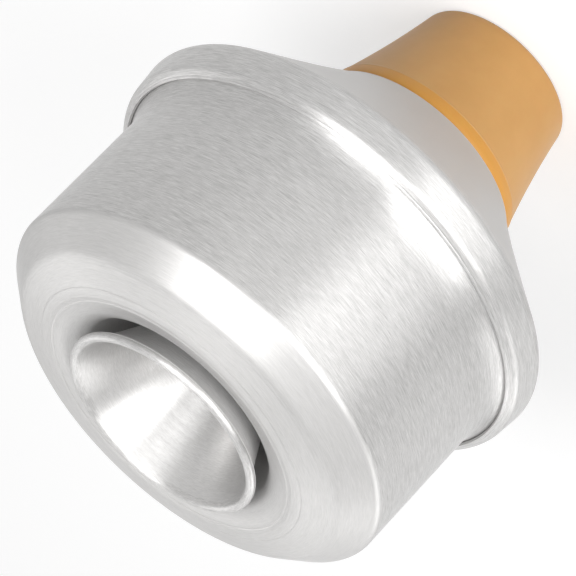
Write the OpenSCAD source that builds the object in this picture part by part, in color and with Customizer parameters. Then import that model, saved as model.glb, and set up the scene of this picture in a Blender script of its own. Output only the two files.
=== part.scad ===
// Closed aluminium mute for a trumpet: a spun metal body on a tapered rubber
// neck, with a cup on a sliding stem in the crater of its base.
// It stands on the free end of the rubber neck, cup upwards.
// Origin: centre of the free end of the neck. +Z is the common axis.

/* [Rubber neck] */
// Outer diameter of the rubber at its free end
neck_end_d = 42.7; // [38:0.1:46]
// Outer diameter of the rubber where it meets the cone
neck_base_d = 57.9; // [54:0.1:62]
// Length of the rubber sleeve
neck_length = 34.3; // [28:0.1:45]
// How far the flare of the neck is hollowed from a straight cone
neck_hollow = 0.62; // [0:0.01:1.2]
// Thickness of the rubber round the metal neck
rubber_t = 3.2; // [2.4:0.1:4.5]
// Rounding of the outer edge at the free end
neck_edge_r = 2; // [0.8:0.1:2.2]
// Thickness of the rubber lip that covers the metal edge
neck_lip_t = 0.9; // [0.6:0.1:2]
// Height of the rounded foot of the rubber above the cone
neck_foot_h = 4; // [1:0.1:6]
// Inward turn of the rounded foot
neck_foot_w = 2; // [0.4:0.1:2.2]

/* [Cone shell] */
// Thickness of the sheet of both body shells
sheet_t = 0.9; // [0.6:0.05:1.2]
// Width of the metal ledge that shows round the rubber
ledge_w = 0.3; // [0.1:0.05:1]
// Height of the cone, from the ledge to the rim
cone_h = 28.9; // [24:0.1:36]
// Largest diameter, at the top of the rim band
rim_d = 120.3; // [117:0.1:126]
// Inward lean of the rim band over its height
band_lean = 0.85; // [0:0.05:1]
// Height of the rim band with its lip, up to the seam
band_h = 9.4; // [7:0.1:14]
// Rounding between the cone and the rim band
rim_r = 2.5; // [1:0.1:4]
// Width of the lip that is rolled in over the body's foot
lip_w = 2.25; // [1.9:0.05:2.6]
// Rise of the lip from the band to the seam
lip_rise = 1.6; // [1.2:0.1:2.2]

/* [Body shell] */
// How far the straight wall stands in from the rim's largest diameter, on each side
wall_inset = 5.9; // [5.2:0.05:8]
// Length of the wall that shows, from the seam to the shoulder
body_h = 44.4; // [30:0.1:60]
// Height of the flare that carries the wall out to the seam
flare_h = 7.6; // [6.5:0.1:10]
// Length of the skirt that stands inside the rim band
skirt_h = 4; // [2:0.1:4.6]
// Width of the sloped shoulder
shoulder_w = 7.8; // [4:0.1:10]
// Height of the sloped shoulder
shoulder_h = 7.3; // [4:0.1:10]
// Rounding between the wall and the shoulder
shoulder_r = 2.4; // [1:0.1:4]
// Rise of the domed base above the shoulder
crown_h = 2.7; // [1.5:0.1:4]
// Diameter of the highest ring of the domed base
crown_d = 73; // [70:0.1:77]
// Rounding of the highest ring of the domed base
crown_r = 10; // [6:0.5:10.5]
// Radial gap between the cup and the crater wall
crater_gap = 4; // [3:0.1:5.5]
// Fall of the base from its highest ring to the crater
crater_fall = 1.7; // [1:0.1:3]
// Rounding of the crater's mouth
crater_mouth_r = 6; // [2:0.1:6.2]
// Rounding between the crater's wall and floor
crater_floor_r = 3; // [1:0.1:3.5]

/* [Stem guide] */
// Bore of the guide tube
guide_bore_d = 20; // [19:0.1:22]
// Wall of the guide tube
guide_wall = 1.2; // [1:0.1:1.4]
// Length of the guide tube below its flange
guide_length = 28; // [22:0.1:36]
// Width of the flange round the guide tube
flange_w = 2; // [1:0.1:2.3]
// Thickness of the flange
flange_t = 1.2; // [0.8:0.1:2]
// Width of the ring that locks the guide tube from inside
lock_ring_w = 2.4; // [1.5:0.1:4]
// Height of the ring that locks the guide tube from inside
lock_ring_h = 2.5; // [1.5:0.1:4]

/* [Stem] */
// Outer diameter of the stem tube
stem_d = 18.2; // [16.4:0.1:19.2]
// Wall of the stem tube
stem_wall = 1; // [0.9:0.05:1.5]
// Length of the stem tube
stem_length = 62; // [54:0.1:66]
// Width of each rubber grip ring along the stem
grip_w = 2; // [1.5:0.1:3]
// Depth of the groove that holds a grip ring
groove_depth = 0.5; // [0.3:0.05:0.55]
// Height of the lower grip ring above the foot of the guide tube
grip_height = 4.5; // [3:0.1:8]
// Distance between the two grip rings
grip_pitch = 15; // [8:0.1:16]

/* [Cup] */
// Outer diameter of the cup's rolled rim
cup_d = 54.8; // [52:0.1:58]
// Height of the cup's rim above the base
cup_stand = 3.2; // [2:0.1:8]
// Depth inside the cup, from the rim to the floor
cup_depth = 24; // [20:0.1:28]
// Thickness of the cup's sheet
cup_t = 0.8; // [0.6:0.05:0.9]
// Slope of the cup's wall away from the axis, in degrees
cup_slope = 26; // [23:0.5:28]
// Diameter of the rolled rim's section
cup_bead_d = 2.4; // [2.2:0.1:3]
// Rounding between the cup's wall and floor, outside
cup_floor_r = 5; // [3:0.1:5.5]
// Length of the collar that holds the stem tube
cup_collar_h = 3; // [2:0.1:5]

/* [Clearances] */
// Gap between pieces that are pressed or glued together
seat_gap = 0.05; // [0.02:0.01:0.1]
// Radial clearance of the sliding and turning fits
run_gap = 0.05; // [0.03:0.01:0.08]
// Gap between faces of moving pieces that stop on each other
stop_gap = 0.3; // [0.2:0.05:0.5]

/* [Hidden] */
$fn = 96;

// Turn of each step of a rounded corner, in degrees, and steps of each long curve
bend_turn = 12;
curve_steps = 16;
// Share of its room that a bend may fill, and overrun of shapes that cut others
bend_share = 0.95;
edge_share = 0.9;
overrun = 1;

// Rubber neck
neck_end_r = neck_end_d / 2;
neck_base_r = neck_base_d / 2;
metal_inset = rubber_t + seat_gap;
ledge_z = neck_length + seat_gap;
ledge_r = neck_base_r + ledge_w;

// Rim band and lip; the skirt's bend has an inside radius, and the lip is bent round it
rim_outer_r = rim_d / 2;
rim_z = neck_length + cone_h;
seam_z = rim_z + band_h;
lip_outer_r = rim_outer_r - band_lean;
seam_r = lip_outer_r - lip_w;
lip_z = seam_z - lip_rise;
skirt_fold_r = 0.15;
skirt_bend_r = sheet_t + skirt_fold_r;
lip_bend_r = skirt_bend_r + seat_gap + sheet_t;
// The cone starts steeper than it ends: knee of its curve, as shares of its run and rise
knee_run = 0.139;
knee_rise = 0.197;
knee_end = 0.976;

// Body wall, and the slope in degrees at which its flare meets the seam
wall_r = rim_outer_r - wall_inset;
flare_slope = 42;
shoulder_z = seam_z + body_h;
shoulder_inner_r = wall_r - shoulder_w;
ridge_r = 6;
base_z = shoulder_z + shoulder_h;
crown_z = base_z + crown_h;

// Cup, from its rim down
cup_z = crown_z + cup_stand;
bead_r = cup_bead_d / 2;
bead_centre = [cup_d / 2 - bead_r, cup_z - bead_r];
cup_inner_floor_z = cup_z - cup_depth;
cup_floor_z = cup_inner_floor_z - cup_t;
cup_wall_out = bead_r - cup_t;
function cup_wall_r(z) =
    bead_centre[0] - cup_wall_out / cos(cup_slope) + (z - bead_centre[1]) * tan(cup_slope);
function wall_bend_room(flat) = bend_share * flat * tan(45 + cup_slope / 2);

// Stem and guide, from the cup down
stem_r = stem_d / 2;
collar_r = stem_r + seat_gap + cup_t;
collar_bend_r = cup_t / 2;
cup_floor_flat = cup_wall_r(cup_floor_z) - collar_r - collar_bend_r;
stop_z = cup_floor_z - cup_collar_h;
flange_z = stop_z - stop_gap;
crater_floor_z = flange_z - flange_t;
stem_foot_z = cup_inner_floor_z - stem_length;
guide_bore_r = guide_bore_d / 2;
guide_r = guide_bore_r + guide_wall;
guide_foot_z = crater_floor_z - guide_length;
lock_ring_z = crater_floor_z - sheet_t - seat_gap - lock_ring_h;
crater_mouth_z = crown_z - crater_fall;
function crater_wall_r(z) = cup_wall_r(z) + crater_gap;
crater_floor_flat = crater_wall_r(crater_floor_z) - guide_r - flange_w - seat_gap;

// Grip rings in the grooves of the stem tube
grip_outer_r = guide_bore_r - run_gap;
groove_r = stem_r - groove_depth;
grip_inner_r = groove_r + run_gap;
groove_w = grip_w + 2 * run_gap;
grip_lower_z = guide_foot_z + grip_height;
grip_upper_z = grip_lower_z + grip_pitch;

function unit(v) = v / norm(v);
function turn(v) = [-v[1], v[0]];
function reverse(list) = [for (i = [len(list) - 1 : -1 : 0]) list[i]];

// Arc about a centre, between two angles
function arc(centre, r, from, to) =
    let (steps = max(2, ceil(abs(to - from) / bend_turn)))
    [for (i = [0 : steps])
        let (a = from + (to - from) * i / steps)
        centre + r * [cos(a), sin(a)]];

// Curve that starts at a, heads for b and ends at c
function curve(a, b, c) =
    [for (i = [0 : curve_steps])
        let (t = i / curve_steps)
        (1 - t) * (1 - t) * a + 2 * t * (1 - t) * b + t * t * c];

// Corner b between a and c, rounded to radius r
function corner(a, b, c, r) =
    let (
        back = unit(a - b),
        ahead = unit(c - b),
        half = acos(back * ahead) / 2,
        centre = b + unit(back + ahead) * r / sin(half),
        start = b + back * r / tan(half) - centre,
        from = atan2(start[1], start[0]),
        side = sign(back[0] * ahead[1] - back[1] * ahead[0])
    )
    arc(centre, r, from, from - side * (180 - 2 * half));

// Path through corners given as [radius, height, rounding]; the ends stay sharp
function rounded(c) =
    let (p = [for (q = c) [q[0], q[1]]], last = len(c) - 1)
    [for (i = [0 : last])
        each (i == 0 || i == last || c[i][2] == 0) ? [p[i]] : corner(p[i - 1], p[i], p[i + 1], c[i][2])];

// The same path, moved sideways by t to the left of its run
function beside(p, t) =
    [for (i = [0 : len(p) - 1])
        let (
            before = turn(unit(p[max(i, 1)] - p[max(i, 1) - 1])),
            after = turn(unit(p[min(i, len(p) - 2) + 1] - p[min(i, len(p) - 2)]))
        )
        p[i] + t * (before + after) / (1 + before * after)];

// Sheet metal turned about the axis: one face on the path, the other to its left
module spun_sheet(path, t) {
    rotate_extrude()
        polygon(concat(path, reverse(beside(path, t))));
}

// Ring turned about the axis
module ring(inner_r, outer_r, z, h) {
    rotate_extrude()
        translate([inner_r, z])
            square([outer_r - inner_r, h]);
}

// Outside radius of the rubber neck at a height
function neck_r(z) =
    let (u = z / neck_length)
    neck_end_r + (neck_base_r - neck_end_r) * u - 4 * neck_hollow * u * (1 - u);

// Outside of the metal neck, from under the rubber lip to the ledge
metal_neck =
    [for (i = [0 : curve_steps])
        let (z = neck_lip_t + (ledge_z - neck_lip_t) * i / curve_steps)
        [neck_r(min(z, neck_length)) - metal_inset, z]];

// Outside of the cone, from the ledge to the rim
cone_run = rim_outer_r - ledge_r;
cone_curve = curve(
    [ledge_r, ledge_z],
    [ledge_r + knee_run * cone_run, ledge_z + knee_rise * cone_h],
    [ledge_r + knee_end * cone_run, ledge_z + knee_end * (cone_h - seat_gap)]);

// Inside of the rim band and its lip, where the body's skirt is seated
skirt_seat = beside([[rim_outer_r, rim_z], [lip_outer_r, lip_z], [seam_r, seam_z]], sheet_t + seat_gap);

// Metal neck, cone, rim band and lip in one spun sheet
module cone_shell() {
    band = rounded([
        [cone_curve[curve_steps - 1][0], cone_curve[curve_steps - 1][1]],
        [rim_outer_r, rim_z, rim_r],
        [lip_outer_r, lip_z, lip_bend_r],
        [seam_r, seam_z]]);
    outside = concat(
        metal_neck,
        [for (i = [0 : curve_steps - 2]) cone_curve[i]],
        band);
    color([0.76, 0.76, 0.77])
        spun_sheet(outside, sheet_t);
}

// Skirt, flare, straight wall, shoulder, domed base and crater in one spun sheet
module body_shell() {
    crater_bend_r = min(crater_floor_r, wall_bend_room(crater_floor_flat));
    fold = skirt_seat[1];
    foot = fold + skirt_h * unit(skirt_seat[0] - fold);
    flare_start = skirt_seat[2];
    flare_knee = [wall_r, flare_start[1] + (flare_start[0] - wall_r) / tan(flare_slope)];
    flare = curve(flare_start, flare_knee, [wall_r, seam_z + flare_h]);
    rest = rounded([
        flare[curve_steps],
        [wall_r, shoulder_z, shoulder_r],
        [shoulder_inner_r, base_z, ridge_r],
        [crown_d / 2, crown_z, crown_r],
        [crater_wall_r(crater_mouth_z), crater_mouth_z, crater_mouth_r],
        [crater_wall_r(crater_floor_z), crater_floor_z, crater_bend_r],
        [guide_r + seat_gap, crater_floor_z]]);
    outside = concat(
        [foot],
        corner(foot, fold, flare_start, skirt_bend_r),
        [for (i = [0 : curve_steps - 1]) flare[i]],
        rest);
    color([0.80, 0.80, 0.81])
        spun_sheet(outside, sheet_t);
}

// Tapered rubber sleeve that seals in the bell
module neck_seal() {
    foot_z = neck_length - neck_foot_h;
    lip_r = neck_r(neck_lip_t) - metal_inset - sheet_t;
    edge = corner([0, 0], [neck_r(0), 0], [neck_r(neck_edge_r), neck_edge_r], edge_share * neck_edge_r);
    flank = [for (i = [1 : curve_steps - 1])
        let (z = neck_edge_r + (foot_z - neck_edge_r) * i / curve_steps)
        [neck_r(z), z]];
    foot = curve(
        [neck_r(foot_z), foot_z],
        [neck_base_r, neck_length],
        [neck_base_r - neck_foot_w, neck_length]);
    bore = [for (p = reverse(metal_neck)) [p[0] + seat_gap, min(p[1], neck_length)]];
    color([0.80, 0.62, 0.38])
        rotate_extrude()
            polygon(concat(
                [[lip_r, 0]],
                edge,
                flank,
                foot,
                [for (i = [0 : len(bore) - 2]) bore[i]],
                [[bore[len(bore) - 1][0], neck_lip_t - seat_gap], [lip_r, neck_lip_t - seat_gap]]));
}

// Flanged tube in the crater's floor, in which the stem slides
module guide_tube() {
    color([0.72, 0.72, 0.74])
        rotate_extrude()
            polygon([
                [guide_bore_r, guide_foot_z],
                [guide_r, guide_foot_z],
                [guide_r, crater_floor_z + seat_gap],
                [guide_r + flange_w, crater_floor_z + seat_gap],
                [guide_r + flange_w, flange_z],
                [guide_bore_r, flange_z]]);
}

// Pressed ring that holds the guide tube from inside the body
module guide_lock_ring() {
    color([0.66, 0.66, 0.68])
        ring(guide_r + seat_gap, guide_r + seat_gap + lock_ring_w, lock_ring_z, lock_ring_h);
}

// Flat rubber ring in a groove of the stem
module grip_ring(z) {
    color([0.16, 0.15, 0.15])
        ring(grip_inner_r, grip_outer_r, z - grip_w / 2, grip_w);
}

module grip_ring_lower() {
    grip_ring(grip_lower_z);
}

module grip_ring_upper() {
    grip_ring(grip_upper_z);
}

// Tube of the stem, with a groove for each grip ring
module stem_tube() {
    color([0.74, 0.74, 0.76])
        difference() {
            translate([0, 0, stem_foot_z])
                cylinder(h = stem_length, r = stem_r);
            translate([0, 0, stem_foot_z - overrun])
                cylinder(h = stem_length + 2 * overrun, r = stem_r - stem_wall);
            for (z = [grip_lower_z, grip_upper_z])
                ring(groove_r, stem_r + overrun, z - groove_w / 2, groove_w);
        }
}

// Spun cup with a rolled rim and a collar on the stem tube
module stem_cup() {
    wall_top = bead_centre + cup_wall_out * [-cos(cup_slope), sin(cup_slope)];
    wall = rounded([
        [collar_r, stop_z],
        [collar_r, cup_floor_z, collar_bend_r],
        [cup_wall_r(cup_floor_z), cup_floor_z, min(cup_floor_r, wall_bend_room(cup_floor_flat))],
        wall_top]);
    // The rim rolls outwards over the top and back to the wall
    rim = arc(bead_centre, cup_wall_out, 180 - cup_slope, -90);
    color([0.82, 0.82, 0.83])
        spun_sheet(concat(wall, [for (i = [1 : len(rim) - 1]) rim[i]]), cup_t);
}

cone_shell();
body_shell();
neck_seal();
guide_tube();
guide_lock_ring();
grip_ring_lower();
grip_ring_upper();
stem_tube();
stem_cup();
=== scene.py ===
"""Looks of a closed aluminium trumpet mute with a rubber neck and a cup on a sliding stem.

The mute stands on the free end of its neck, cup upwards, in metres, with +Z as its axis.
Every piece is turned about that axis from an outline of its section.
"""
import math

import bpy
from bpy.props import FloatProperty, FloatVectorProperty, PointerProperty
from mathutils import Matrix, Vector


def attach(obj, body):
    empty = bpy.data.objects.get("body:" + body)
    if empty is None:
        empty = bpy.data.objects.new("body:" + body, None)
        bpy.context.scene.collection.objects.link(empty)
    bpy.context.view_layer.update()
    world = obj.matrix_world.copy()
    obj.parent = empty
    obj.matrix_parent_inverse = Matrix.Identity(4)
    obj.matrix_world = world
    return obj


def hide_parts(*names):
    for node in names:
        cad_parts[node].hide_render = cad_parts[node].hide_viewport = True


bl_info = {
    "name": "Trumpet Mute",
    "version": (1, 0, 0),
    "blender": (4, 5, 0),
    "location": "3D View > Sidebar > Mute",
    "description": "Builds a spun aluminium trumpet mute with a rubber neck and a sliding stem",
    "category": "Object",
}

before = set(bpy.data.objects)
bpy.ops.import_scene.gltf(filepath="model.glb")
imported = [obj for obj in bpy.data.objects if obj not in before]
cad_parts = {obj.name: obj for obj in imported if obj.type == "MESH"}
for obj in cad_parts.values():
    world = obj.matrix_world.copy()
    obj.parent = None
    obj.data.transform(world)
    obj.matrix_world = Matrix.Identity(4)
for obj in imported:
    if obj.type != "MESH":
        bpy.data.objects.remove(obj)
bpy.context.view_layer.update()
MM = 0.001
TURN = 2 * math.pi
WHITE = (1, 1, 1, 1)

# How finely the outlines are turned, and where their edges stay sharp
SEGMENTS = 240
BEND_STEP = math.radians(6)
CURVE_STEPS = 48
SHARP_ANGLE = math.radians(38)

# Longest straight run in the outline of a shell, of the cup and of a tube
SHELL_STEP = 0.4 * MM
CUP_STEP = 0.5 * MM
TUBE_STEP = 2 * MM

# Points nearer than this are taken as one
SAME_POINT = 1e-7

# At a sharp bend, a face beside the path moves out by no more than its distance divided by this
MITRE_LIMIT = 0.3

# Metal that brushing takes off each face of a sheet, and the easing of the sheet's edges, as a
# share of its thickness
BRUSHED_DOWN = 0.03 * MM
EASED_SHARE = 0.15

# Waves of the spinning tool's ripples: share of the height, length and phase
RIPPLES = ((1.0, 1.9 * MM, 0.0), (0.6, 0.83 * MM, 1.3), (0.8, 4.7 * MM, 0.4))

# Brush lines on the metal, and the bands and smudges that vary them. The real lines are some
# 0.03 mm wide: they are drawn 0.1 mm wide, so that a picture can hold them.
BRUSH_LINE = 0.1 * MM
BRUSH_BAND = 1.1 * MM
BAND_SHARE = 0.05
SMUDGE = 26.3 * MM

# Most values of the marks' noise lie between these, and the gloss varies with them by this much
NOISE_SPAN = {"From Min": 0.3, "From Max": 0.7}
GLOSSIER = 0.02
ROUGHER = 0.03

# Width over which brushed metal goes over into metal that the brush doesn't reach
DULL_BLEND = 2.5 * MM

# Clouds and dusty grain of the tan rubber, grain of the black rubber, and the height of both grains
CLOUD = 16.7 * MM
DUST = 0.385 * MM
BLACK_GRAIN = 0.556 * MM
GRAIN_HEIGHT = 0.02 * MM


def length(title, about, default):
    """A size in metres that the user can change."""
    return FloatProperty(name=title, description=about, default=default, min=0.0, precision=5,
                         unit="LENGTH")


def srgb(code):
    """An sRGB hex colour as linear red, green, blue and alpha."""
    channels = [int(code[i:i + 2], 16) / 255 for i in (1, 3, 5)]
    linear = [c / 12.92 if c <= 0.04045 else ((c + 0.055) / 1.055) ** 2.4 for c in channels]
    return (*linear, 1.0)


def paint(title, about, code):
    """A colour that the user can change."""
    return FloatVectorProperty(name=title, description=about, subtype="COLOR", size=4,
                               min=0.0, max=1.0, default=srgb(code))


class NeckSizes(bpy.types.PropertyGroup):
    """Sizes of the rubber neck."""

    end_d: length("End diameter", "Outer diameter of the rubber at its free end", 0.0427)
    base_d: length("Base diameter", "Outer diameter of the rubber where it meets the cone", 0.0579)
    height: length("Length", "Length of the rubber sleeve", 0.0343)
    hollow: length("Hollow", "How far the flare is hollowed from a straight cone", 0.00062)
    rubber_t: length("Rubber thickness", "Thickness of the rubber round the metal neck", 0.0032)
    edge_r: length("End rounding", "Rounding of the outer edge at the free end", 0.002)
    lip_t: length("End lip", "Thickness of the rubber lip over the metal edge", 0.0009)
    foot_h: length("Foot height", "Height of the rounded foot of the rubber above the cone", 0.004)
    foot_w: length("Foot turn", "Inward turn of the rounded foot", 0.002)
    foot_ridge: length("Foot ridge", "Height of the fine ridge where the foot begins", 0.00012)


class ShellSizes(bpy.types.PropertyGroup):
    """Sizes of the cone shell and the body shell."""

    sheet_t: length("Sheet", "Thickness of the sheet of both shells", 0.0009)
    ledge_w: length("Ledge", "Width of the metal ledge that shows round the rubber", 0.0003)
    cone_h: length("Cone height", "Height of the cone, from the ledge to the rim", 0.0289)
    rim_d: length("Rim diameter", "Largest diameter, at the top of the rim band", 0.1203)
    band_lean: length("Band lean", "Inward lean of the rim band over its height", 0.00085)
    band_h: length("Band height", "Height of the rim band with its lip, up to the seam", 0.0094)
    rim_r: length("Rim rounding", "Rounding between the cone and the rim band", 0.0025)
    lip_w: length("Lip width", "Width of the lip that is rolled in over the body's foot", 0.00225)
    lip_rise: length("Lip rise", "Rise of the lip from the band to the seam", 0.0016)
    wall_inset: length("Wall inset", "How far the wall stands in from the largest diameter",
                       0.0059)
    body_h: length("Body height", "Wall from the seam to the shoulder", 0.0444)
    flare_h: length("Flare height", "Height of the flare that carries the wall out to the seam",
                    0.0076)
    skirt_h: length("Skirt height", "Length of the skirt that stands inside the rim band", 0.004)
    shoulder_w: length("Shoulder width", "Width of the sloped shoulder", 0.0078)
    shoulder_h: length("Shoulder height", "Height of the sloped shoulder", 0.0073)
    shoulder_r: length("Shoulder rounding", "Rounding between the wall and the shoulder", 0.0024)
    crown_h: length("Crown height", "Rise of the domed base above the shoulder", 0.0027)
    crown_d: length("Crown diameter", "Diameter of the highest ring of the base", 0.073)
    crown_r: length("Crown rounding", "Rounding of the highest ring of the base", 0.010)
    crater_gap: length("Crater gap", "Radial gap between the cup and the crater wall", 0.004)
    crater_fall: length("Crater fall", "Fall of the base from its highest ring to the crater",
                        0.0017)
    crater_mouth_r: length("Crater mouth rounding", "Rounding of the crater's mouth", 0.006)
    crater_floor_r: length("Crater floor rounding", "Rounding between the crater's wall and floor",
                           0.003)
    ripple: length("Spinning ripple", "Height of the faint ripples left by the spinning tool",
                   0.000012)


class StemSizes(bpy.types.PropertyGroup):
    """Sizes of the stem, its cup and its guide."""

    bore_d: length("Guide bore", "Bore of the guide tube", 0.020)
    guide_wall: length("Guide wall", "Wall of the guide tube", 0.0012)
    guide_h: length("Guide length", "Length of the guide tube below its flange", 0.028)
    flange_w: length("Flange width", "Width of the flange round the guide tube", 0.002)
    flange_t: length("Flange thickness", "Thickness of the flange", 0.0012)
    lock_w: length("Lock ring width", "Width of the ring that locks the guide tube", 0.0024)
    lock_h: length("Lock ring height", "Height of the ring that locks the guide tube", 0.0025)
    stem_d: length("Stem diameter", "Outer diameter of the stem tube", 0.0182)
    stem_wall: length("Stem wall", "Wall of the stem tube", 0.001)
    stem_h: length("Stem length", "Length of the stem tube", 0.062)
    grip_w: length("Grip ring width", "Width of each rubber grip ring", 0.002)
    groove_depth: length("Groove depth", "Depth of the groove that holds a grip ring", 0.0005)
    grip_height: length("Grip height", "Lower grip ring above the foot of the guide tube", 0.0045)
    grip_pitch: length("Grip pitch", "Distance between the two grip rings", 0.015)
    cup_d: length("Cup diameter", "Outer diameter of the cup's rolled rim", 0.0548)
    cup_stand: length("Cup stand", "Height of the cup's rim above the base", 0.0032)
    cup_depth: length("Cup depth", "Depth inside the cup, from the rim to the floor", 0.024)
    cup_t: length("Cup sheet", "Thickness of the cup's sheet", 0.0008)
    cup_slope: FloatProperty(name="Cup slope", default=math.radians(26), subtype="ANGLE",
                             description="Slope of the cup's wall away from the axis")
    bead_d: length("Bead diameter", "Diameter of the rolled rim's section", 0.0024)
    cup_floor_r: length("Cup floor rounding", "Rounding between the cup's wall and floor", 0.005)
    collar_h: length("Collar height", "Length of the collar that holds the stem tube", 0.003)


class FitSizes(bpy.types.PropertyGroup):
    """Clearances between the pieces."""

    seat: length("Seat gap", "Gap between pieces that are pressed or glued together", 0.00005)
    run: length("Running gap", "Radial clearance of the sliding and turning fits", 0.00005)
    stop: length("Stop gap", "Gap between faces of moving pieces that stop on each other", 0.0003)


class MuteColours(bpy.types.PropertyGroup):
    """Colours of the metal and the rubber."""

    metal_low: paint("Metal, worn", "Darker tone of the aluminium between its brush lines",
                     "#9E9D9C")
    metal_high: paint("Metal, bright", "Brighter tone of the aluminium on its brush lines",
                      "#CFCECD")
    cup_low: paint("Cup, worn", "Darker tone of the cup between its scour marks", "#ABAAA9")
    cup_high: paint("Cup, bright", "Brighter tone of the cup on its scour marks", "#C6C5C4")
    # Painted light: this pale tone stands in for the bounce light on the cup's outside, down in the
    # crater gap
    matt: paint("Metal, matt", "Brighter tone of the matt metal outside the cup", "#EEEDEC")
    buffed: paint("Metal, buffed", "Darker tone of the buffed shoulder and base", "#ADACAB")
    cone_metal: paint("Cone metal", "Tone of the smooth spun cone", "#BFBEBD")
    rubber: paint("Rubber", "Main tone of the tan rubber", "#D3A05E")
    rubber_deep: paint("Rubber, deep", "Deeper tone in the mottling of the tan rubber", "#C38E4B")
    # Painted shade: the foot gets a deeper, more saturated tan where it curls in under the cone and
    # sits in shade
    rubber_foot_shade: paint("Rubber, foot", "Denser tone of the rubber's folded foot", "#D6983F")
    grip: paint("Grip rings", "Tone of the black rubber rings", "#262424")
    floor: paint("Floor", "Tone of the floor", "#BDBDBD")


class Layout:
    """Heights and radii that follow from the sizes, as in the construction of the part."""

    # Inside radius of the bend between the body's skirt and its flare
    SKIRT_FOLD_R = 0.15 * MM

    def __init__(self, scene):
        neck, shell = scene.mute_neck, scene.mute_shell
        stem, fit = scene.mute_stem, scene.mute_fit
        self.neck, self.shell, self.stem, self.fit = neck, shell, stem, fit
        self.inset = neck.rubber_t + fit.seat
        self.ledge_z = neck.height + fit.seat
        self.ledge_r = neck.base_d / 2 + shell.ledge_w
        self.rim_outer_r = shell.rim_d / 2
        self.rim_z = neck.height + shell.cone_h
        self.seam_z = self.rim_z + shell.band_h
        self.lip_outer_r = self.rim_outer_r - shell.band_lean
        self.seam_r = self.lip_outer_r - shell.lip_w
        self.lip_z = self.seam_z - shell.lip_rise
        self.skirt_bend_r = shell.sheet_t + self.SKIRT_FOLD_R
        self.lip_bend_r = self.skirt_bend_r + fit.seat + shell.sheet_t
        self.wall_r = self.rim_outer_r - shell.wall_inset
        self.shoulder_z = self.seam_z + shell.body_h
        self.base_z = self.shoulder_z + shell.shoulder_h
        self.crown_z = self.base_z + shell.crown_h
        self.cup_z = self.crown_z + stem.cup_stand
        self.bead_r = stem.bead_d / 2
        self.bead = Vector((stem.cup_d / 2 - self.bead_r, self.cup_z - self.bead_r))
        self.bowl_z = self.cup_z - stem.cup_depth
        self.cup_floor_z = self.bowl_z - stem.cup_t
        self.roll_r = self.bead_r - stem.cup_t
        self.stem_r = stem.stem_d / 2
        self.collar_r = self.stem_r + fit.seat + stem.cup_t
        self.stop_z = self.cup_floor_z - stem.collar_h
        self.flange_z = self.stop_z - fit.stop
        self.crater_floor_z = self.flange_z - stem.flange_t
        self.crater_mouth_z = self.crown_z - shell.crater_fall
        self.stem_foot_z = self.bowl_z - stem.stem_h
        self.bore_r = stem.bore_d / 2
        self.guide_r = self.bore_r + stem.guide_wall
        self.guide_foot_z = self.crater_floor_z - stem.guide_h
        self.lock_z = self.crater_floor_z - shell.sheet_t - fit.seat - stem.lock_h
        self.groove_r = self.stem_r - stem.groove_depth
        self.grips = [self.guide_foot_z + stem.grip_height + i * stem.grip_pitch for i in range(2)]

    def neck_r(self, z):
        """Outside radius of the rubber neck at a height, hollowed most halfway up."""
        u = z / self.neck.height
        end_r, base_r = self.neck.end_d / 2, self.neck.base_d / 2
        return end_r + (base_r - end_r) * u - 4 * self.neck.hollow * u * (1 - u)

    def cup_r(self, z):
        """Outside radius of the cup's straight wall at a height."""
        slope = self.stem.cup_slope
        return self.bead.x - self.roll_r / math.cos(slope) + (z - self.bead.y) * math.tan(slope)

    def crater_r(self, z):
        """Radius of the crater's straight wall at a height."""
        return self.cup_r(z) + self.shell.crater_gap


def arc(centre, r, start, stop):
    """Points of an arc about a centre, between two angles."""
    steps = max(2, math.ceil(abs(stop - start) / BEND_STEP))
    angles = [start + (stop - start) * i / steps for i in range(steps + 1)]
    return [Vector((centre[0] + r * math.cos(a), centre[1] + r * math.sin(a))) for a in angles]


def curve(a, b, c):
    """Points of a curve that starts at a, heads for b and ends at c."""
    shares = [i / CURVE_STEPS for i in range(CURVE_STEPS + 1)]
    return [a * (1 - t) ** 2 + b * 2 * t * (1 - t) + c * t ** 2 for t in shares]


def corner(a, b, c, r):
    """Corner b between a and c, rounded to radius r."""
    back = (a - b).normalized()
    ahead = (c - b).normalized()
    half = math.acos(max(-1.0, min(1.0, back.dot(ahead)))) / 2
    centre = b + (back + ahead).normalized() * r / math.sin(half)
    first = b + back * r / math.tan(half) - centre
    start = math.atan2(first.y, first.x)
    side = math.copysign(1, back.x * ahead.y - back.y * ahead.x)
    return arc(centre, r, start, start - side * (math.pi - 2 * half))


def rounded(corners):
    """Path through corners given as (radius, height, rounding). Its ends stay sharp."""
    points = [Vector(c[:2]) for c in corners]
    path = [points[0]]
    for i in range(1, len(points) - 1):
        r = corners[i][2]
        path += corner(points[i - 1], points[i], points[i + 1], r) if r else [points[i]]
    return path + [points[-1]]


def ring_outline(inner, outer, low, high, ease):
    """Closed outline of a plain ring with eased edges."""
    middle = (low + high) / 2
    return rounded([(inner, middle, 0), (inner, low, ease), (outer, low, ease),
                    (outer, high, ease), (inner, high, ease), (inner, middle, 0)])


def sides(path):
    """Unit vector to the left of the path at each point."""
    runs = [(b - a).normalized() for a, b in zip(path, path[1:])]
    runs = [runs[0]] + runs + [runs[-1]]
    found = []
    for before, after in zip(runs, runs[1:]):
        mean = (before + after).normalized()
        found.append(Vector((-mean.y, mean.x)))
    return found


def beside(path, t):
    """The path moved by t to the left of its run."""
    runs = [(b - a).normalized() for a, b in zip(path, path[1:])]
    moved = []
    for i, (p, side) in enumerate(zip(path, sides(path))):
        run = runs[min(i, len(runs) - 1)]
        moved.append(p + side * t / max(MITRE_LIMIT, side.dot(Vector((-run.y, run.x)))))
    return moved


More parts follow.
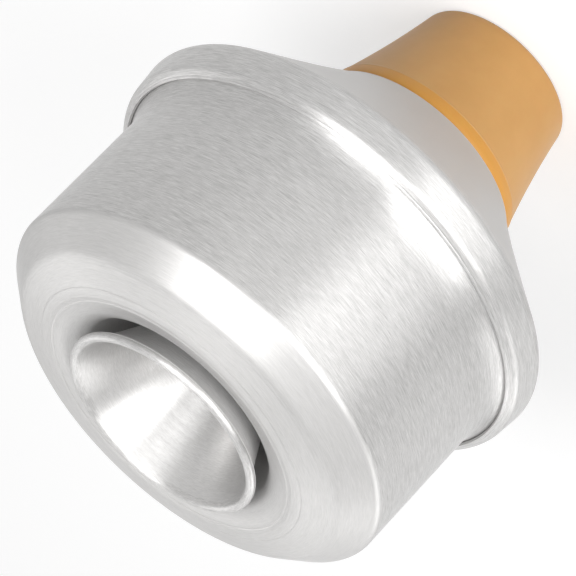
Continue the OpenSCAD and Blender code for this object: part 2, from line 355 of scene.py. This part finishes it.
def dense(path, step):
    """The path with its long runs cut into pieces no longer than step."""
    points = [path[0]]
    for a, b in zip(path, path[1:]):
        cuts = max(1, math.ceil((b - a).length / step))
        points += [a.lerp(b, i / cuts) for i in range(1, cuts + 1)]
    return points


def distinct(path):
    """The path without points that repeat the one before."""
    points = [path[0]]
    for p in path[1:]:
        if (p - points[-1]).length > SAME_POINT:
            points.append(p)
    return points


def place(path, r, above):
    """Length along the path to where it comes in to radius r, above a height."""
    run = 0.0
    for a, b in zip(path, path[1:]):
        step = (b - a).length
        if a.y > above and b.x <= r < a.x:
            return run + step * (a.x - r) / (a.x - b.x)
        run += step
    raise ValueError(f"the path doesn't reach radius {r}")


def scored(path, cuts):
    """The path with fine rings cut into its right side.

    Each cut is its place along the path, or back from its end if that is below 0, its width and its
    depth.
    """
    total = sum((b - a).length for a, b in zip(path, path[1:]))
    for spot, width, depth in cuts:
        middle = spot if spot >= 0 else total + spot
        run = 0.0
        before, after, across = [], [], None
        for a, b in zip(path, path[1:]):
            step = (b - a).length
            if run < middle - width / 2:
                before.append(a)
            if run <= middle < run + step:
                along = (b - a) / step
                across = a + along * (middle - run), along
            run += step
            if run > middle + width / 2:
                after.append(b)
        centre, along = across
        inward = Vector((-along.y, along.x)) * depth
        cut = [centre - along * width / 2, centre + inward, centre + along * width / 2]
        path = before + cut + after
    return path


def lathed(name, outline):
    """Mesh of a closed outline turned about the axis. Its map runs round the axis and along it."""
    count = len(outline)
    verts = []
    for s in range(SEGMENTS):
        a = TURN * s / SEGMENTS
        verts += [(p.x * math.sin(a), -p.x * math.cos(a), p.y) for p in outline]
    faces = []
    for s in range(SEGMENTS):
        here, there = s * count, (s + 1) % SEGMENTS * count
        for i in range(count):
            j = (i + 1) % count
            faces.append((here + i, there + i, there + j, here + j))
    mesh = bpy.data.meshes.new(name)
    mesh.from_pydata(verts, [], faces)
    along = [0.0]
    for a, b in zip(outline, outline[1:] + outline[:1]):
        along.append(along[-1] + (b - a).length)
    layer = mesh.uv_layers.new(name="turned")
    for face in mesh.polygons:
        s, i = divmod(face.index, count)
        spots = ((s, i), (s + 1, i), (s + 1, i + 1), (s, i + 1))
        for loop, (u, v) in zip(face.loop_indices, spots):
            layer.data[loop].uv = (u / SEGMENTS, along[v] / along[-1])
    return mesh


def turned(name, outline, body, materials, nodes, pick=None):
    """Turns a closed outline of (radius, height) about the axis and hangs the piece on a body.

    pick says which of the materials a stretch of the outline has, from the middle of the stretch.
    """
    outline = distinct(outline)
    if (outline[0] - outline[-1]).length < SAME_POINT:
        outline.pop()
    mesh = lathed(name, outline)
    for material in materials:
        mesh.materials.append(material)
    if pick:
        choice = [pick((a + b) / 2) for a, b in zip(outline, outline[1:] + outline[:1])]
        for face in mesh.polygons:
            face.material_index = choice[face.index % len(outline)]
    mesh.polygons.foreach_set("use_smooth", [True] * len(mesh.polygons))
    mesh.set_sharp_from_angle(angle=SHARP_ANGLE)
    mesh.validate()
    piece = bpy.data.objects.new(name, mesh)
    bpy.context.scene.collection.objects.link(piece)
    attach(piece, body)
    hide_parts(*nodes)


def sheet(path, t, ripple):
    """Closed outline of sheet metal: one face along the path, the other to its left, edges eased.

    Both faces are brushed down a little from the sheet's size, and have the faint uneven ripples
    of the spinning tool.
    """
    inner = list(reversed(rippled(list(reversed(beside(path, t))), ripple)))
    path = rippled(path, ripple)

    def eased(a, b, c):
        return corner(a, b, c, EASED_SHARE * t)

    far = eased(path[-2], path[-1], inner[-1]) + eased(path[-1], inner[-1], inner[-2])
    near = eased(inner[1], inner[0], path[0]) + eased(inner[0], path[0], path[1])
    return path[1:-1] + far + inner[-2:0:-1] + near


def rippled(path, height):
    """The path brushed down to its left, with ripples of the given height."""
    whole = sum(share for share, reach, phase in RIPPLES)
    run = 0.0
    moved = []
    left = sides(path)
    for i, p in enumerate(path):
        run += (p - path[max(i - 1, 0)]).length
        wave = sum(share * math.sin(run / reach * TURN + phase) for share, reach, phase in RIPPLES)
        moved.append(p + left[i] * (BRUSHED_DOWN + height * wave / whole))
    return moved


def add(tree, kind, settings=None, links=None):
    """Adds a shader node, sets its values and joins its inputs to other nodes' outputs."""
    node = tree.nodes.new(kind)
    for key, value in (settings or {}).items():
        if isinstance(key, str) and hasattr(node, key):
            setattr(node, key, value)
        else:
            node.inputs[key].default_value = value
    for key, source in (links or {}).items():
        tree.links.new(source, node.inputs[key])
    return node


def material(name):
    """A new material, and its node tree without nodes."""
    made = bpy.data.materials.new(name)
    made.use_nodes = True
    made.node_tree.nodes.clear()
    return made, made.node_tree


def from_axis(tree):
    """Each point, the same point without its height, and its distance from the axis."""
    point = add(tree, "ShaderNodeTexCoord").outputs["Object"]
    flat = add(tree, "ShaderNodeVectorMath", {"operation": "MULTIPLY", 1: (1, 1, 0)},
               {0: point}).outputs[0]
    radius = add(tree, "ShaderNodeVectorMath", {"operation": "LENGTH"}, {0: flat}).outputs["Value"]
    return point, flat, radius


def lathe_noise(tree, streak, line, roughness):
    """Noise that is long round the axis and short across it, for the marks of a turned surface.

    streak is the number of marks in a radian round the axis, and line the width of a mark.
    """
    point, flat, radius = from_axis(tree)
    spoke = add(tree, "ShaderNodeVectorMath", {"operation": "NORMALIZE"}, {0: flat}).outputs[0]
    around = add(tree, "ShaderNodeVectorMath", {"operation": "SCALE", "Scale": streak},
                 {0: spoke}).outputs[0]
    height = add(tree, "ShaderNodeVectorMath", {"operation": "MULTIPLY", 1: (0, 0, 1 / line)},
                 {0: point}).outputs[0]
    where = add(tree, "ShaderNodeVectorMath", {"operation": "ADD"},
                {0: around, 1: height}).outputs[0]
    across = add(tree, "ShaderNodeMath", {"operation": "MULTIPLY", 1: 1 / line},
                 {0: radius}).outputs[0]
    return add(tree, "ShaderNodeTexNoise",
               {"noise_dimensions": "4D", "Scale": 1.0, "Detail": 2.0, "Roughness": roughness},
               {"Vector": where, "W": across}).outputs["Fac"]


def brushed_aluminium(name, low, high, roughness, anisotropic, depth, streak, dull=0.0, dull_r=0.0):
    """Aluminium 1050 sheet, spun and then brushed on the lathe: fine lines round the axis stretch
    its gloss across them, in broad bands, and its cut surface is a soft light grey.

    low and high are the tones between the lines and on them. depth is the height of the lines and
    streak their number in a radian: 15 are each some 3.6 mm long on the wall. dull is how matt the
    metal is where the brush doesn't reach, inside the radius dull_r, or all over if that is 0.
    """
    made, tree = material(name)
    fine = lathe_noise(tree, streak, BRUSH_LINE, roughness=0.7)
    broad = lathe_noise(tree, streak / 4, BRUSH_BAND, roughness=0.5)
    point = add(tree, "ShaderNodeTexCoord").outputs["Object"]
    smudge = add(tree, "ShaderNodeTexNoise",
                 {"Scale": 1 / SMUDGE, "Detail": 3.0, "Roughness": 0.55},
                 {"Vector": point}).outputs["Fac"]
    marks = add(tree, "ShaderNodeMix", {"data_type": "FLOAT", 0: BAND_SHARE},
                {2: fine, 3: broad}).outputs[0]
    worn = add(tree, "ShaderNodeMix", {"data_type": "FLOAT", 0: 0.5},
               {2: smudge, 3: broad}).outputs[0]
    gloss = add(tree, "ShaderNodeMapRange",
                {**NOISE_SPAN, "To Min": roughness - GLOSSIER, "To Max": roughness + ROUGHER},
                {"Value": worn}).outputs[0]
    relief = add(tree, "ShaderNodeBump", {"Strength": 0.55, "Distance": depth},
                 {"Height": marks}).outputs[0]
    round_axis = add(tree, "ShaderNodeTangent",
                     {"direction_type": "RADIAL", "axis": "Z"}).outputs[0]
    metal = add(tree, "ShaderNodeBsdfPrincipled",
                {"Base Color": low, "Metallic": 1.0 - dull, "Anisotropic": anisotropic,
                 "Anisotropic Rotation": 0.25},
                {"Roughness": gloss, "Normal": relief, "Tangent": round_axis})
    if tuple(low) != tuple(high):
        tone = add(tree, "ShaderNodeMapRange", NOISE_SPAN, {"Value": marks}).outputs[0]
        colour = add(tree, "ShaderNodeMix", {"data_type": "RGBA", 6: low, 7: high},
                     {0: tone}).outputs[2]
        tree.links.new(colour, metal.inputs["Base Color"])
    if dull_r:
        bright = add(tree, "ShaderNodeMapRange",
                     {"interpolation_type": "SMOOTHSTEP", "From Min": dull_r - DULL_BLEND,
                      "From Max": dull_r, "To Min": 1.0 - dull, "To Max": 1.0},
                     {"Value": from_axis(tree)[-1]}).outputs[0]
        tree.links.new(bright, metal.inputs["Metallic"])
    add(tree, "ShaderNodeOutputMaterial", None, {"Surface": metal.outputs[0]})
    return made


def natural_rubber(name, main, deep):
    """Natural rubber, moulded and lightly tumbled: an even tan with faint clouds, a soft sheen
    and a fine dusty grain.
    """
    made, tree = material(name)
    point = add(tree, "ShaderNodeTexCoord").outputs["Object"]
    cloud = add(tree, "ShaderNodeTexNoise", {"Scale": 1 / CLOUD, "Detail": 4.0, "Roughness": 0.6},
                {"Vector": point}).outputs["Fac"]
    grain = add(tree, "ShaderNodeTexNoise", {"Scale": 1 / DUST, "Detail": 2.0},
                {"Vector": point}).outputs["Fac"]
    gloss = add(tree, "ShaderNodeMapRange", {"To Min": 0.42, "To Max": 0.56},
                {"Value": cloud}).outputs[0]
    relief = add(tree, "ShaderNodeBump", {"Strength": 0.12, "Distance": GRAIN_HEIGHT},
                 {"Height": grain}).outputs[0]
    rubber = add(tree, "ShaderNodeBsdfPrincipled",
                 {"Base Color": main, "IOR": 1.52, "Subsurface Weight": 0.12,
                  "Subsurface Scale": 0.004, "Sheen Weight": 0.08, "Sheen Roughness": 0.5},
                 {"Roughness": gloss, "Normal": relief})
    if tuple(main) != tuple(deep):
        tone = add(tree, "ShaderNodeMapRange", {"From Min": 0.35, "From Max": 0.65},
                   {"Value": cloud}).outputs[0]
        share = add(tree, "ShaderNodeMath", {"operation": "MULTIPLY", 1: 0.35},
                    {0: tone}).outputs[0]
        colour = add(tree, "ShaderNodeMix", {"data_type": "RGBA", 6: main, 7: deep},
                     {0: share}).outputs[2]
        tree.links.new(colour, rubber.inputs["Base Color"])
    add(tree, "ShaderNodeOutputMaterial", None, {"Surface": rubber.outputs[0]})
    return made


def nitrile_rubber(name, tone):
    """Nitrile rubber, moulded: near black, with a low sheen over a fine grain."""
    made, tree = material(name)
    point = add(tree, "ShaderNodeTexCoord").outputs["Object"]
    grain = add(tree, "ShaderNodeTexNoise", {"Scale": 1 / BLACK_GRAIN, "Detail": 3.0},
                {"Vector": point}).outputs["Fac"]
    gloss = add(tree, "ShaderNodeMapRange", {"To Min": 0.45, "To Max": 0.65},
                {"Value": grain}).outputs[0]
    relief = add(tree, "ShaderNodeBump", {"Strength": 0.2, "Distance": GRAIN_HEIGHT},
                 {"Height": grain}).outputs[0]
    rubber = add(tree, "ShaderNodeBsdfPrincipled", {"IOR": 1.52, "Base Color": tone},
                 {"Roughness": gloss, "Normal": relief})
    add(tree, "ShaderNodeOutputMaterial", None, {"Surface": rubber.outputs[0]})
    return made


def seen(tree):
    """1 for what the camera, a reflection or clear glass shows, and 0 for the light that falls."""
    rays = add(tree, "ShaderNodeLightPath")
    found = rays.outputs["Is Camera Ray"]
    for kind in ("Is Glossy Ray", "Is Transmission Ray"):
        found = add(tree, "ShaderNodeMath", {"operation": "MAXIMUM"},
                    {0: found, 1: rays.outputs[kind]}).outputs[0]
    return found


def studio_paper(tone, glow):
    """Matt studio paper: plain and pale, and white where the camera or a reflection sees it lit."""
    made, tree = material("studio_paper")
    paper = add(tree, "ShaderNodeBsdfDiffuse", {"Color": tone})
    strength = add(tree, "ShaderNodeMath", {"operation": "MULTIPLY", 1: glow},
                   {0: seen(tree)}).outputs[0]
    light = add(tree, "ShaderNodeEmission", {"Color": WHITE}, {"Strength": strength})
    both = add(tree, "ShaderNodeAddShader", None, {0: paper.outputs[0], 1: light.outputs[0]})
    add(tree, "ShaderNodeOutputMaterial", None, {"Surface": both.outputs[0]})
    return made


def finishes(scene):
    """The materials, made once."""
    found = bpy.data.materials
    if "aluminium_brushed" in found:
        return found
    tones = scene.mute_colours
    # Brushed wall, band and rolled rim: the lines draw each lamp out into a soft upright stripe
    brushed_aluminium("aluminium_brushed", tones.metal_low, tones.metal_high, roughness=0.41,
                      anisotropic=0.76, depth=0.012 * MM, streak=15.0)
    # Shoulder and base, buffed after the brushing: mistier, and matt down in the crater
    brushed_aluminium("aluminium_buffed", tones.buffed, tones.cone_metal, roughness=0.44,
                      anisotropic=0.3, depth=0.005 * MM, streak=13.0, dull=0.85, dull_r=33 * MM)
    # Cone, left as it was spun: one even tone, with hardly a line
    brushed_aluminium("aluminium_spun", tones.cone_metal, tones.cone_metal, roughness=0.45,
                      anisotropic=0.4, depth=0.004 * MM, streak=4.0, dull=0.35)
    # Inside of the cup, scoured round: brighter spots of light than on the wall
    brushed_aluminium("aluminium_scoured", tones.cup_low, tones.cup_high, roughness=0.35,
                      anisotropic=0.55, depth=0.006 * MM, streak=12.0, dull=0.2)
    # Outside of the cup, left as it was spun and nearly without gloss. Its pale tone is painted
    # light: the bounce that lights the wall down in the crater gap
    brushed_aluminium("aluminium_matt_painted_light", tones.metal_high, tones.matt, roughness=0.45,
                      anisotropic=0.2, depth=0.006 * MM, streak=8.0, dull=0.8)
    # Drawn tube and turned rings: smoother and glossier than the sheet
    brushed_aluminium("aluminium_drawn", tones.metal_low, tones.metal_high, roughness=0.3,
                      anisotropic=0.5, depth=0.006 * MM, streak=6.0)
    # The sleeve is lightly clouded. Its foot carries painted shade: a deeper, even tone where it
    # curls in under the cone
    natural_rubber("natural_rubber_moulded", tones.rubber, tones.rubber_deep)
    natural_rubber("natural_rubber_shaded_foot", tones.rubber_foot_shade, tones.rubber_foot_shade)
    nitrile_rubber("nitrile_rubber_moulded", tones.grip)
    return found


class MUTE_OT_neck_seal(bpy.types.Operator):
    """Builds the tapered rubber sleeve that seals in the bell."""

    bl_idname = "mute.neck_seal"
    bl_label = "Rubber neck"

    # Half width of the ridge where the foot begins
    RIDGE_W = 0.5 * MM

    # Rounding of the free end, as a share of the height that it takes up
    EDGE_SHARE = 0.9

    FLANK_STEPS = 3 * CURVE_STEPS

    def execute(self, context):
        at = Layout(context.scene)
        neck = at.neck
        lip_r = at.neck_r(neck.lip_t) - at.inset - at.shell.sheet_t
        edge = corner(Vector((0, 0)), Vector((at.neck_r(0), 0)),
                      Vector((at.neck_r(neck.edge_r), neck.edge_r)), neck.edge_r * self.EDGE_SHARE)
        foot_z = neck.height - neck.foot_h
        flank = []
        for i in range(1, self.FLANK_STEPS):
            z = neck.edge_r + (foot_z - neck.edge_r) * i / self.FLANK_STEPS
            ridge = neck.foot_ridge * math.exp(-((z - foot_z) / self.RIDGE_W) ** 2)
            flank.append(Vector((at.neck_r(z) + ridge, z)))
        base = Vector((at.neck_r(neck.height), neck.height))
        foot = curve(Vector((at.neck_r(foot_z), foot_z)), base, base - Vector((neck.foot_w, 0)))
        bore = []
        for i in range(CURVE_STEPS + 1):
            z = neck.height + (neck.lip_t - neck.height) * i / CURVE_STEPS
            bore.append(Vector((at.neck_r(z) - at.inset + at.fit.seat, z)))
        lip_z = neck.lip_t - at.fit.seat
        lip = [Vector((bore[-1].x, lip_z)), Vector((lip_r, lip_z)), Vector((lip_r, 0))]
        rubbers = finishes(context.scene)
        # Above the foot's start the rubber takes the painted shade of its foot
        turned("rubber_neck", edge + flank + foot + bore + lip, "body",
               [rubbers["natural_rubber_moulded"], rubbers["natural_rubber_shaded_foot"]], ["neck_seal"],
               lambda p: int(p.y > foot_z))
        return {"FINISHED"}


class MUTE_OT_cone_shell(bpy.types.Operator):
    """Builds the metal neck, cone, rim band and rolled lip from one sheet."""

    bl_idname = "mute.cone_shell"
    bl_label = "Cone shell"

    # The cone starts steeper than it ends: knee of its curve, as shares of its run and rise
    KNEE_RUN = 0.139
    KNEE_RISE = 0.197
    KNEE_END = 0.976

    # Points at the end of the cone's curve that give room to the rounding of the rim
    ROOM = 4

    # Fine line that the rolling tool leaves beside the seam: place back from the seam, width, depth
    LIP_LINE = (-0.75 * MM, 0.26 * MM, 0.05 * MM)

    # How many times lower the ripples of the smooth cone are than the body's
    CALM = 3

    # The brushed band begins this far below the rim
    BAND_FOOT = 2.2 * MM

    def execute(self, context):
        at = Layout(context.scene)
        neck, shell = at.neck, at.shell
        hidden = []
        for i in range(CURVE_STEPS + 1):
            z = neck.lip_t + (at.ledge_z - neck.lip_t) * i / CURVE_STEPS
            hidden.append(Vector((at.neck_r(min(z, neck.height)) - at.inset, z)))
        ledge = Vector((at.ledge_r, at.ledge_z))
        run = at.rim_outer_r - at.ledge_r
        knee = ledge + Vector((self.KNEE_RUN * run, self.KNEE_RISE * shell.cone_h))
        top = ledge + Vector((self.KNEE_END * run, self.KNEE_END * (shell.cone_h - at.fit.seat)))
        cone = curve(ledge, knee, top)
        band = rounded([tuple(cone[-self.ROOM]), (at.rim_outer_r, at.rim_z, shell.rim_r),
                        (at.lip_outer_r, at.lip_z, at.lip_bend_r), (at.seam_r, at.seam_z)])
        path = distinct(hidden + cone[:-self.ROOM] + dense(band, SHELL_STEP))
        skin = sheet(scored(path, [self.LIP_LINE]), shell.sheet_t, shell.ripple / self.CALM)
        metals = finishes(context.scene)
        turned("cone_shell_skin", skin, "body",
               [metals["aluminium_spun"], metals["aluminium_brushed"]], ["cone_shell"],
               lambda p: int(p.y > at.rim_z - self.BAND_FOOT and p.x > at.wall_r))
        return {"FINISHED"}


class MUTE_OT_body_shell(bpy.types.Operator):
    """Builds the skirt, flare, straight wall, shoulder, domed base and crater from one sheet."""

    bl_idname = "mute.body_shell"
    bl_label = "Body shell"

    # Lean of the flare from upright where it leaves the seam
    FLARE_LEAN = math.radians(42)

    # Rounding between the shoulder and the base
    RIDGE_R = 6 * MM

    # Rings that the spinning tool leaves on the base, in millimetres: radius, width and depth,
    # below 0 for a raised one
    RINGS = (
        (45.4, 0.6, 0.09),
        (41.3, 0.5, 0.06),
        (38.6, 0.5, 0.09),
        (36.2, 0.6, -0.1),
        (34.9, 0.5, 0.12),
    )

    # The rings lie no further than this below the edge of the base
    BASE_ROOM = 1 * MM

    # The buffing begins this far below the shoulder
    BUFF_FOOT = 0.6 * MM

    def execute(self, context):
        at = Layout(context.scene)
        shell = at.shell
        seat = beside([Vector((at.rim_outer_r, at.rim_z)), Vector((at.lip_outer_r, at.lip_z)),
                       Vector((at.seam_r, at.seam_z))], shell.sheet_t + at.fit.seat)
        foot = seat[1] + (seat[0] - seat[1]).normalized() * shell.skirt_h
        knee = Vector((at.wall_r, seat[2].y + (seat[2].x - at.wall_r) / math.tan(self.FLARE_LEAN)))
        flare = curve(seat[2], knee, Vector((at.wall_r, at.seam_z + shell.flare_h)))
        base_r = at.wall_r - shell.shoulder_w
        path = rounded([
            tuple(flare[-1]),
            (at.wall_r, at.shoulder_z, shell.shoulder_r),
            (base_r, at.base_z, self.RIDGE_R),
            (shell.crown_d / 2, at.crown_z, shell.crown_r),
            (at.crater_r(at.crater_mouth_z), at.crater_mouth_z, shell.crater_mouth_r),
            (at.crater_r(at.crater_floor_z), at.crater_floor_z, shell.crater_floor_r),
            (at.guide_r + at.fit.seat, at.crater_floor_z, 0)])
        skirt = [foot] + corner(foot, seat[1], seat[2], at.skirt_bend_r)
        path = dense(skirt + flare[:-1] + path, SHELL_STEP)
        cuts = []
        for r, width, depth in self.RINGS:
            cuts.append((place(path, r * MM, at.base_z - self.BASE_ROOM), width * MM, depth * MM))
        skin = sheet(scored(path, cuts), shell.sheet_t, shell.ripple)
        metals = finishes(context.scene)
        turned("body_shell_skin", skin, "body",
               [metals["aluminium_brushed"], metals["aluminium_buffed"]], ["body_shell"],
               lambda p: int(p.y > at.shoulder_z - self.BUFF_FOOT or p.x < base_r))
        return {"FINISHED"}


class MUTE_OT_stem_cup(bpy.types.Operator):
    """Builds the spun cup with its rolled rim and collar."""

    bl_idname = "mute.stem_cup"
    bl_label = "Cup"

    # Metals of the cup, in the order that metal_at gives
    # The second metal, outside and below the cup, is pale with painted bounce light
    METALS = ("aluminium_scoured", "aluminium_matt_painted_light", "aluminium_brushed")

    def metal_at(self, at, p):
        """Number of the metal: 0 inside the cup, 1 outside and below it, 2 on its rolled rim."""
        if p.y > at.bead.y - at.roll_r / 2:
            return 2
        return int(p.x > at.cup_r(p.y) - at.stem.cup_t / 2 or p.y < at.bowl_z)

    def execute(self, context):
        at = Layout(context.scene)
        stem = at.stem
        slope = stem.cup_slope
        top = at.bead + at.roll_r * Vector((-math.cos(slope), math.sin(slope)))
        wall = rounded([
            (at.collar_r, at.stop_z, 0),
            (at.collar_r, at.cup_floor_z, stem.cup_t / 2),
            (at.cup_r(at.cup_floor_z), at.cup_floor_z, stem.cup_floor_r),
            tuple(top)])
        rim = arc(at.bead, at.roll_r, math.pi - slope, -math.pi / 2)
        path = distinct(dense(wall, CUP_STEP) + rim[1:])
        metals = finishes(context.scene)
        turned("cup_skin", sheet(path, stem.cup_t, at.shell.ripple), "stem",
               [metals[name] for name in self.METALS], ["stem_cup"],
               lambda p: self.metal_at(at, p))
        return {"FINISHED"}


class MUTE_OT_stem_tube(bpy.types.Operator):
    """Builds the stem tube with the grooves for its grip rings."""

    bl_idname = "mute.stem_tube"
    bl_label = "Stem tube"

    # Easing of the tube's ends and of the edges of its grooves
    EASE = 0.2 * MM
    GROOVE_EASE = 0.08 * MM

    def execute(self, context):
        at = Layout(context.scene)
        stem = at.stem
        inner, outer = at.stem_r - stem.stem_wall, at.stem_r
        low, high = at.stem_foot_z, at.stem_foot_z + stem.stem_h
        middle = (low + high) / 2
        half = stem.grip_w / 2 + at.fit.run
        corners = [(inner, middle, 0), (inner, low, self.EASE), (outer, low, self.EASE)]
        for z in at.grips:
            for r, edge_z in ((outer, z - half), (at.groove_r, z - half),
                              (at.groove_r, z + half), (outer, z + half)):
                corners.append((r, edge_z, self.GROOVE_EASE))
        corners += [(outer, high, self.EASE), (inner, high, self.EASE), (inner, middle, 0)]
        turned("stem_tube_skin", dense(rounded(corners), TUBE_STEP), "stem",
               [finishes(context.scene)["aluminium_drawn"]], ["stem_tube"])
        return {"FINISHED"}


class MUTE_OT_grip_rings(bpy.types.Operator):
    """Builds the two rubber rings on which the stem slides and turns."""

    bl_idname = "mute.grip_rings"
    bl_label = "Grip rings"

    # Rounding of the rings' edges
    EASE = 0.25 * MM

    def execute(self, context):
        at = Layout(context.scene)
        inner, outer = at.groove_r + at.fit.run, at.bore_r - at.fit.run
        half = at.stem.grip_w / 2
        for node, z in zip(("grip_ring_lower", "grip_ring_upper"), at.grips):
            ring = ring_outline(inner, outer, z - half, z + half, self.EASE)
            turned(node + "_skin", ring, "grip_rings",
                   [finishes(context.scene)["nitrile_rubber_moulded"]], [node])
        return {"FINISHED"}


class MUTE_OT_guide_tube(bpy.types.Operator):
    """Builds the flanged guide tube and the ring that locks it."""

    bl_idname = "mute.guide_tube"
    bl_label = "Guide tube"

    # Easing of the edges of the tube, its flange and its ring
    EASE = 0.25 * MM

    def execute(self, context):
        at = Layout(context.scene)
        stem = at.stem
        ease = self.EASE
        seat_z = at.crater_floor_z + at.fit.seat
        flange_r = at.guide_r + stem.flange_w
        middle = (at.guide_foot_z + at.flange_z) / 2
        tube = rounded([
            (at.bore_r, middle, 0), (at.bore_r, at.guide_foot_z, ease),
            (at.guide_r, at.guide_foot_z, ease), (at.guide_r, seat_z, 0),
            (flange_r, seat_z, ease), (flange_r, at.flange_z, ease),
            (at.bore_r, at.flange_z, ease), (at.bore_r, middle, 0)])
        metal = [finishes(context.scene)["aluminium_drawn"]]
        turned("guide_tube_skin", dense(tube, TUBE_STEP), "body", metal,
               ["guide_tube"])
        inner = at.guide_r + at.fit.seat
        ring = ring_outline(inner, inner + stem.lock_w, at.lock_z, at.lock_z + stem.lock_h, ease)
        turned("guide_lock_ring_skin", ring, "body", metal, ["guide_lock_ring"])
        return {"FINISHED"}


class MUTE_OT_stage(bpy.types.Operator):
    """Builds the floor, the studio light and the camera."""

    bl_idname = "mute.stage"
    bl_label = "Stage"

    # Half the width of the floor, the glow that makes it look white, and the light from all round
    FLOOR_HALF = 6.0
    FLOOR_GLOW = 0.58
    WORLD_FILL = 0.08

    # The long lens that the photograph was taken with, and where it stood
    LENS_MM = 281.25
    SENSOR_MM = 36.0
    ELEVATION = math.radians(27.15)
    ROLL = math.radians(-136.14)
    DISTANCE = 1.0681
    OFFSET_RIGHT = 0.005767
    OFFSET_UP = 0.005058
    AIM_HEIGHT = 0.07234
    CLIP_END = 50.0

    # Soft lamps: name, azimuth from the camera towards +X and elevation in degrees, distance, width
    # and height in metres, power in watts
    LAMPS = (
        ("key_softbox", 26, 56, 1.1, 0.55, 0.44, 7.6),
        ("strip_softbox", -18, 20, 1.1, 0.36, 0.75, 5.2),
        ("side_softbox", -41, 20, 1.1, 0.52, 0.75, 4.7),
        ("left_softbox", -107, 8, 1.2, 1.2, 0.38, 3.1),
        ("high_left_softbox", -100, 50, 1.2, 0.8, 0.6, 0.5),
        ("far_left_softbox", -140, 8, 1.2, 1.1, 0.38, 0.6),
        ("back_left_softbox", -150, 35, 1.2, 0.8, 0.5, 1.2),
        ("back_right_softbox", 150, 35, 1.2, 0.8, 0.5, 1.3),
        ("high_right_softbox", 100, 50, 1.2, 0.8, 0.6, 0.2),
        ("top_back_softbox", 176, 60, 1.1, 0.28, 0.2, 0.55),
    )

    def floor(self, tone):
        half = self.FLOOR_HALF
        corners = [(-half, -half, 0), (half, -half, 0), (half, half, 0), (-half, half, 0)]
        mesh = bpy.data.meshes.new("floor")
        mesh.from_pydata(corners, [], [(0, 1, 2, 3)])
        mesh.materials.append(studio_paper(tone, self.FLOOR_GLOW))
        plane = bpy.data.objects.new("floor", mesh)
        bpy.context.scene.collection.objects.link(plane)

    def world(self):
        sky = bpy.data.worlds.new("studio")
        bpy.context.scene.world = sky
        sky.use_nodes = True
        tree = sky.node_tree
        tree.nodes.clear()
        strength = add(tree, "ShaderNodeMapRange", {"To Min": self.WORLD_FILL, "To Max": 1.0},
                       {"Value": seen(tree)}).outputs[0]
        light = add(tree, "ShaderNodeBackground", {"Color": WHITE}, {"Strength": strength})
        add(tree, "ShaderNodeOutputWorld", None, {"Surface": light.outputs[0]})

    def lamps(self):
        aim = Vector((0, 0, self.AIM_HEIGHT))
        for name, azimuth, elevation, distance, width, height, power in self.LAMPS:
            a, e = math.radians(azimuth), math.radians(elevation)
            way = Vector((math.sin(a) * math.cos(e), -math.cos(a) * math.cos(e), math.sin(e)))
            light = bpy.data.lights.new(name, "AREA")
            light.shape = "RECTANGLE"
            light.size, light.size_y = width, height
            light.energy = power
            lamp = bpy.data.objects.new(name, light)
            lamp.location = aim + way * distance
            lamp.rotation_euler = (-way).to_track_quat("-Z", "Y").to_euler()
            bpy.context.scene.collection.objects.link(lamp)

    def camera(self):
        data = bpy.data.cameras.new("camera")
        data.lens, data.sensor_width = self.LENS_MM, self.SENSOR_MM
        data.clip_end = self.CLIP_END
        tilt = Matrix.Rotation(math.pi / 2 - self.ELEVATION, 3, "X")
        turn = tilt @ Matrix.Rotation(self.ROLL, 3, "Z")
        aim = Vector((self.OFFSET_RIGHT, self.OFFSET_UP, -self.DISTANCE))
        stand = Vector((0, 0, self.AIM_HEIGHT)) - turn @ aim
        eye = bpy.data.objects.new("camera", data)
        eye.matrix_world = Matrix.Translation(stand) @ turn.to_4x4()
        bpy.context.scene.collection.objects.link(eye)
        bpy.context.scene.camera = eye

    def execute(self, context):
        context.scene.view_settings.view_transform = "Standard"
        self.floor(context.scene.mute_colours.floor)
        self.world()
        self.lamps()
        self.camera()
        return {"FINISHED"}


OPERATORS = (
    MUTE_OT_stage,
    MUTE_OT_neck_seal,
    MUTE_OT_cone_shell,
    MUTE_OT_body_shell,
    MUTE_OT_guide_tube,
    MUTE_OT_grip_rings,
    MUTE_OT_stem_tube,
    MUTE_OT_stem_cup,
)
GROUPS = {
    "mute_neck": NeckSizes,
    "mute_shell": ShellSizes,
    "mute_stem": StemSizes,
    "mute_fit": FitSizes,
    "mute_colours": MuteColours,
}


class MUTE_PT_pieces(bpy.types.Panel):
    """Lists the sizes, the colours and the pieces of the mute."""

    bl_idname = "MUTE_PT_pieces"
    bl_label = "Trumpet mute"
    bl_space_type = "VIEW_3D"
    bl_region_type = "UI"
    bl_category = "Mute"

    def draw(self, context):
        for group in GROUPS:
            box = self.layout.box()
            values = getattr(context.scene, group)
            for key in values.bl_rna.properties.keys():
                if key not in ("rna_type", "name"):
                    box.prop(values, key)
        for operator in OPERATORS:
            self.layout.operator(operator.bl_idname)


def register():
    for group in GROUPS.values():
        bpy.utils.register_class(group)
    for operator in OPERATORS:
        bpy.utils.register_class(operator)
    bpy.utils.register_class(MUTE_PT_pieces)
    for name, group in GROUPS.items():
        setattr(bpy.types.Scene, name, PointerProperty(type=group))


def unregister():
    for name in GROUPS:
        delattr(bpy.types.Scene, name)
    bpy.utils.unregister_class(MUTE_PT_pieces)
    for operator in reversed(OPERATORS):
        bpy.utils.unregister_class(operator)
    for group in reversed(GROUPS.values()):
        bpy.utils.unregister_class(group)


def main():
    """Builds the stage and every piece."""
    register()
    for operator in OPERATORS:
        group, name = operator.bl_idname.split(".")
        getattr(getattr(bpy.ops, group), name)()
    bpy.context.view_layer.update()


if __name__ == "__main__":
    main()
